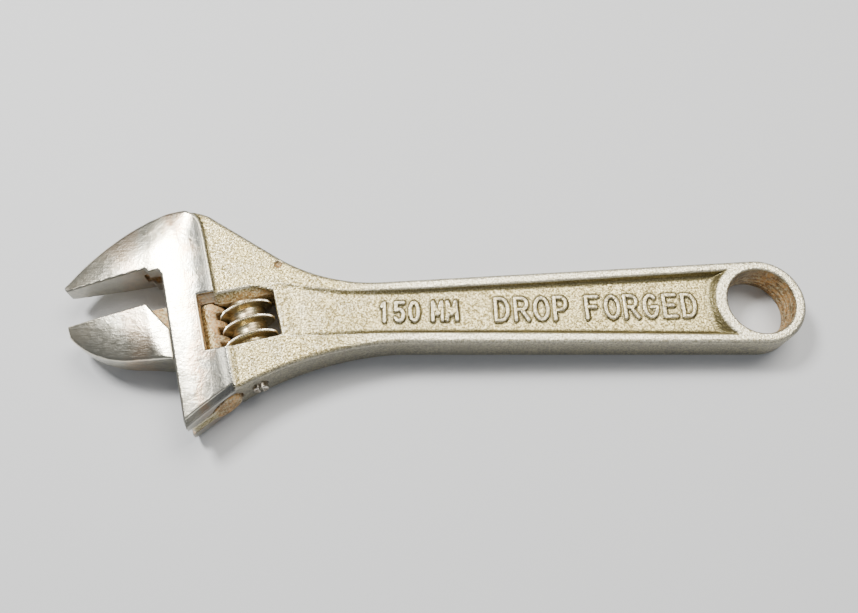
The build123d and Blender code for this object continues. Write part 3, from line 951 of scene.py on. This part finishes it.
def grinding_marks(n):
    """Long marks along the raised pad and slanted ones on the jaws."""
    on_pad = n.remap(n.attribute("along"), 17.0, 21.5)
    pad_marks = n.noise(1.0, 3.0, 0.65, n.turned(TURN, (5200.0, 420.0, 900.0)))
    jaw_marks = n.noise(1.0, 3.0, 0.65, n.turned(JAW_GRIND, (520.0, 4600.0, 900.0)))
    return n.fade(on_pad, jaw_marks, pad_marks)


def ground_colour(n, marks):
    """Ground metal with faint heat tints, peach across the jaw and the pad, and a painted darker reflection
    on the pad towards the window.
    """
    drift = n.noise(120.0, 3.0, 0.55)
    wander = n.times(n.plus(drift, -0.5), 15.0)
    band = n.plus(n.attribute("along"), wander)
    pad_peach = n.times(n.remap(band, 22.6, 25.6), n.remap(band, 28.6, 25.6))
    jaw_peach = n.times(n.remap(band, 8.0, 12.0), n.remap(band, 16.5, 12.5))
    colour = n.blend(n.remap(drift, 0.4, 0.6), rgb(0.58, 0.55, 0.44), rgb(0.76, 0.69, 0.52))
    colour = n.blend(n.times(pad_peach, 0.8), colour, rgb(0.60, 0.39, 0.23))
    colour = n.blend(n.times(jaw_peach, 0.6), colour, rgb(0.62, 0.43, 0.27))
    # Painted reflection: the pad darkens towards the window as if it reflected a darker surround.
    colour = n.blend(n.remap(band, 25.4, 30.0, 0.0, 0.85), colour, rgb(0.25, 0.26, 0.25))
    return n.blend(n.remap(marks, 0.38, 0.66, 0.0, 0.6), colour, rgb(0.40, 0.39, 0.35))


def rust_colour(n, cloud, fine):
    """Brown to orange rust with paler dust on it."""
    colour = n.blend(n.remap(cloud, 0.40, 0.60), rgb(0.20, 0.10, 0.04), rgb(0.56, 0.32, 0.12))
    return n.blend(n.remap(fine, 0.45, 0.62, 0.0, 0.8), colour, rgb(0.55, 0.47, 0.30))


def plated_normal(n, polish, grain, marks, fine, rusty):
    """Forged grain and pits, grinding marks, slow waves in the forging, and rust's own roughness."""
    pitted = n.plus(grain, n.times(n.cells(2300.0), 0.8))
    normal = n.bump(n.times(pitted, n.fade(polish, 1.0, 0.12)), 0.00009, 0.9)
    normal = n.bump(n.times(marks, polish), 0.000012, 0.7, normal)
    waves = n.times(n.noise(330.0, 3.0, 0.6), n.fade(polish, 1.0, 0.5))
    normal = n.bump(waves, 0.00022, 0.5, normal)
    return n.bump(n.times(fine, rusty), 0.00012, 0.8, normal)


def plated_material(name):
    """Satin plate over a grained forging, ground bright on the head, with painted shade in the hollows and
    on the sides and painted highlights on the edges.
    """
    n = Nodes(name)
    polish = n.attribute("polish")
    bend = n.attribute("bend")
    side = n.attribute("side")
    grain = n.noise(2400.0, 3.0, 0.7)
    marks = grinding_marks(n)
    cloud = n.noise(520.0, 5.0, 0.7)
    fine = n.noise(2400.0, 3.0, 0.6)
    rusty = n.times(n.attribute("rust"), n.remap(cloud, 0.25, 0.55, 0.35, 1.0), clamp=True)
    colour = n.blend(polish, forged_colour(n, grain), ground_colour(n, marks))
    # Convex edges are painted lighter, as rubbed wear and painted highlight, and painted shade darkens the
    # hollow corners.
    colour = n.blend(n.remap(bend, 0.6, 2.2, 0.0, 0.45), colour, rgb(0.84, 0.80, 0.66))
    hollow_shade = n.times(n.remap(bend, -0.25, -1.3, 0.0, 0.75), n.fade(polish, 1.0, 0.4))
    colour = n.blend(hollow_shade, colour, rgb(0.15, 0.13, 0.07))
    colour = n.blend(rusty, colour, rust_colour(n, cloud, fine))
    # Painted shade: the outer sides and the hang hole's side towards the head are darkened to grey.
    colour = n.blend(n.times(side, 0.65), colour, rgb(0.27, 0.27, 0.26))
    rough = n.fade(polish, n.remap(grain, 0.3, 0.7, 0.5, 0.3), n.remap(marks, 0.3, 0.75, 0.14, 0.27))
    rough = n.fade(n.times(side, 0.7), rough, 0.42)
    rough = n.fade(rusty, rough, 0.58)
    normal = plated_normal(n, polish, grain, marks, fine, rusty)
    return n.finish(colour, n.fade(rusty, 1.0, 0.5), rough, normal)


def knurl_material():
    """Turned steel with bright rolled crests, drawn marks round the hollows and some tarnish."""
    n = Nodes("knurl_steel")
    crest = n.attribute("crest")
    turning = n.noise(1.0, 2.0, 0.6, n.turned(TURN, (300.0, 9000.0, 300.0)))
    blotch = n.noise(420.0, 4.0, 0.65)
    base = n.blend(n.remap(blotch, 0.42, 0.7), rgb(0.54, 0.48, 0.31), rgb(0.40, 0.30, 0.18))
    base = n.blend(n.remap(turning, 0.35, 0.7, 0.0, 0.45), base, rgb(0.30, 0.27, 0.17))
    colour = n.blend(crest, base, rgb(0.80, 0.76, 0.66))
    rough = n.fade(crest, n.remap(turning, 0.3, 0.7, 0.26, 0.42), 0.28)
    normal = n.bump(turning, 0.00002, 0.7)
    return n.finish(colour, 1.0, rough, normal)


def pin_material():
    """Turned steel, tarnished in patches, with painted highlights at its edges."""
    n = Nodes("pin_steel")
    turning = n.noise(1.0, 2.0, 0.6, n.turned(TURN, (300.0, 8000.0, 300.0)))
    blotch = n.noise(700.0, 4.0, 0.65)
    colour = n.blend(n.remap(blotch, 0.4, 0.66), rgb(0.42, 0.38, 0.30), rgb(0.24, 0.16, 0.10))
    # Painted highlight on the sharply bent edges.
    colour = n.blend(n.remap(n.attribute("bend"), 1.2, 3.0, 0.0, 0.8), colour, rgb(0.86, 0.80, 0.70))
    rough = n.remap(turning, 0.3, 0.7, 0.24, 0.42)
    return n.finish(colour, 1.0, rough, n.bump(turning, 0.00002, 0.6))


def spring_material():
    """Plain drawn wire."""
    n = Nodes("spring_steel")
    drawn = n.noise(1800.0, 3.0, 0.6)
    colour = n.blend(n.remap(drawn, 0.35, 0.7), rgb(0.38, 0.37, 0.35), rgb(0.27, 0.22, 0.17))
    rough = n.remap(drawn, 0.3, 0.7, 0.3, 0.5)
    return n.finish(colour, 1.0, rough, n.bump(drawn, 0.00002, 0.5))


def dress(thing, body, node, material):
    """Gives a piece its material and its place in the frame."""
    thing.data.materials.append(material)
    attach(thing, body)
    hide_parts(node)


dress(build_body(), "body", "wrench_body", plated_material("forged_body_plate"))
dress(build_jaw(), "jaw", "movable_jaw", plated_material("jaw_steel_plate"))
dress(build_knurl(), "knurl", "knurl", knurl_material())
dress(build_pin(), "body", "knurl_pin", pin_material())
dress(build_spring(), "knurl", "knurl_spring", spring_material())


# ---------------------------------------------------------------- floor, light and camera

# --- Where the wrench touches the floor, in mm ---
PAD_X, PAD_Z = -112.0, -5.66
END_X, END_Z = 5.0, -4.17
FLOOR_HALF_SIZE = 900.0

# --- Camera: its own axes and place, in metres, and its lens in mm ---
CAMERA_RIGHT = (0.9989, -0.0396, 0.0239)
CAMERA_UP = (0.0275, 0.9242, 0.3810)
CAMERA_BACK = (-0.0372, -0.3799, 0.9243)
CAMERA_PLACE = (-0.07672, -0.06314, 0.15955)
CAMERA_LENS, CAMERA_SENSOR = 33.857, 36.0


def build_floor():
    """Pale floor, level with the wrench as it rests on its raised pad and its handle's end."""
    mesh = bpy.data.meshes.new("floor")
    near, far = -FLOOR_HALF_SIZE, FLOOR_HALF_SIZE
    slope = (END_Z - PAD_Z) / (END_X - PAD_X)
    corners = [(near, near), (far, near), (far, far), (near, far)]
    places = [(x * MM, y * MM, (PAD_Z + (x - PAD_X) * slope) * MM) for x, y in corners]
    mesh.from_pydata(places, [], [(0, 1, 2, 3)])
    thing = bpy.data.objects.new("floor", mesh)
    bpy.context.scene.collection.objects.link(thing)
    n = Nodes("floor_plain")
    n.finish(rgb(0.62, 0.635, 0.66), 0.0, 0.6)
    thing.data.materials.append(n.material)


def area_light(name, place, target, width, height, power, colour=(1.0, 1.0, 1.0)):
    """Soft light that faces its target; places and sizes in metres, power in watts."""
    lamp = bpy.data.lights.new(name, "AREA")
    lamp.shape = "RECTANGLE"
    lamp.size = width
    lamp.size_y = height
    lamp.energy = power
    lamp.color = colour
    thing = bpy.data.objects.new(name, lamp)
    bpy.context.scene.collection.objects.link(thing)
    away = np.array(place) - np.array(target)
    back = away / np.linalg.norm(away)
    right = np.cross((0.0, 0.0, 1.0), back)
    right = right / np.linalg.norm(right)
    up = np.cross(back, right)
    turn = Matrix(np.stack([right, up, back], 1).tolist()).to_4x4()
    thing.matrix_world = Matrix.Translation(place) @ turn


def build_camera():
    camera = bpy.data.cameras.new("camera")
    camera.sensor_width = CAMERA_SENSOR
    camera.lens = CAMERA_LENS
    camera.clip_start = 0.01
    thing = bpy.data.objects.new("camera", camera)
    bpy.context.scene.collection.objects.link(thing)
    turn = Matrix((CAMERA_RIGHT, CAMERA_UP, CAMERA_BACK)).transposed().to_4x4()
    thing.matrix_world = Matrix.Translation(CAMERA_PLACE) @ turn
    bpy.context.scene.camera = thing


def build_world():
    """Even, faintly blue light from all round."""
    world = bpy.data.worlds.new("studio")
    world.use_nodes = True
    background = world.node_tree.nodes["Background"]
    background.inputs["Color"].default_value = (0.88, 0.91, 0.97, 1.0)
    background.inputs["Strength"].default_value = 0.24
    bpy.context.scene.world = world


build_floor()
build_camera()
build_world()
area_light("key", (-0.36, 0.26, 0.50), (-0.11, 0.0, 0.0), 0.15, 0.15, 5.5, (1.0, 0.985, 0.95))
area_light("top", (0.15, 0.30, 0.62), (-0.04, 0.0, 0.0), 0.50, 0.36, 5.8, (1.0, 0.96, 0.88))
area_light("front", (0.10, -0.45, 0.40), (-0.08, 0.0, 0.0), 0.40, 0.20, 0.4)
